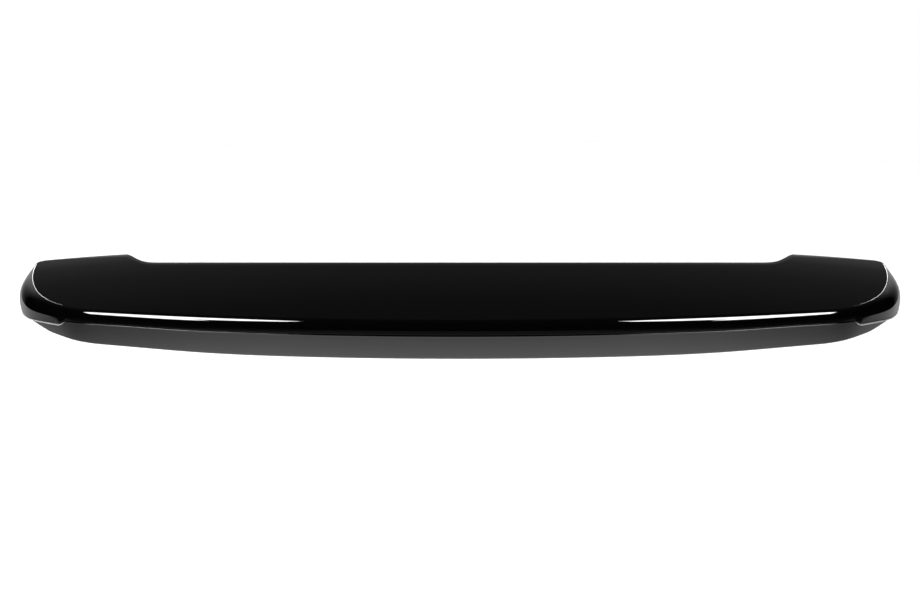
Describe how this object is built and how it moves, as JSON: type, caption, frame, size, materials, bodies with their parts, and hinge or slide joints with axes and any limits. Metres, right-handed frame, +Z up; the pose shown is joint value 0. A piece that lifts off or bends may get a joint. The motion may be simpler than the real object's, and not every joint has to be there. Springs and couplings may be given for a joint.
{
  "type": "car roof spoiler",
  "caption": "Roof spoiler for a car's tailgate: a gloss black upper moulding with a crease and bullnose edge over a leaning rear face, with fixings and seals underneath.",
  "frame": {"origin": "midway between the seats of the two inner fixings, on their seat plane", "axes": "+X to the right seen from behind the car, +Y towards the front of the car, +Z up; the fixings leave along -Z"},
  "size_m": [1.2354, 0.2756, 0.0844],
  "materials": {
    "gloss_black": "high gloss black paint under clear lacquer",
    "lower_black": "gloss black with a faint moulded softness",
    "insert_brass": "turned brass",
    "foam": "closed-cell foam rubber",
    "tape": "red liner over acrylic foam tape"
  },
  "bodies": {
    "root": {"upper_shell": "gloss_black", "lower_shell": "lower_black", "threaded_inserts": "insert_brass", "gasket_inner_left": "foam", "gasket_inner_right": "foam", "gasket_outer_left": "foam", "gasket_outer_right": "foam", "tape_middle": "tape", "tape_ear_left": "tape", "tape_ear_right": "tape", "seal_rear": "foam"}
  },
  "joints": []
}
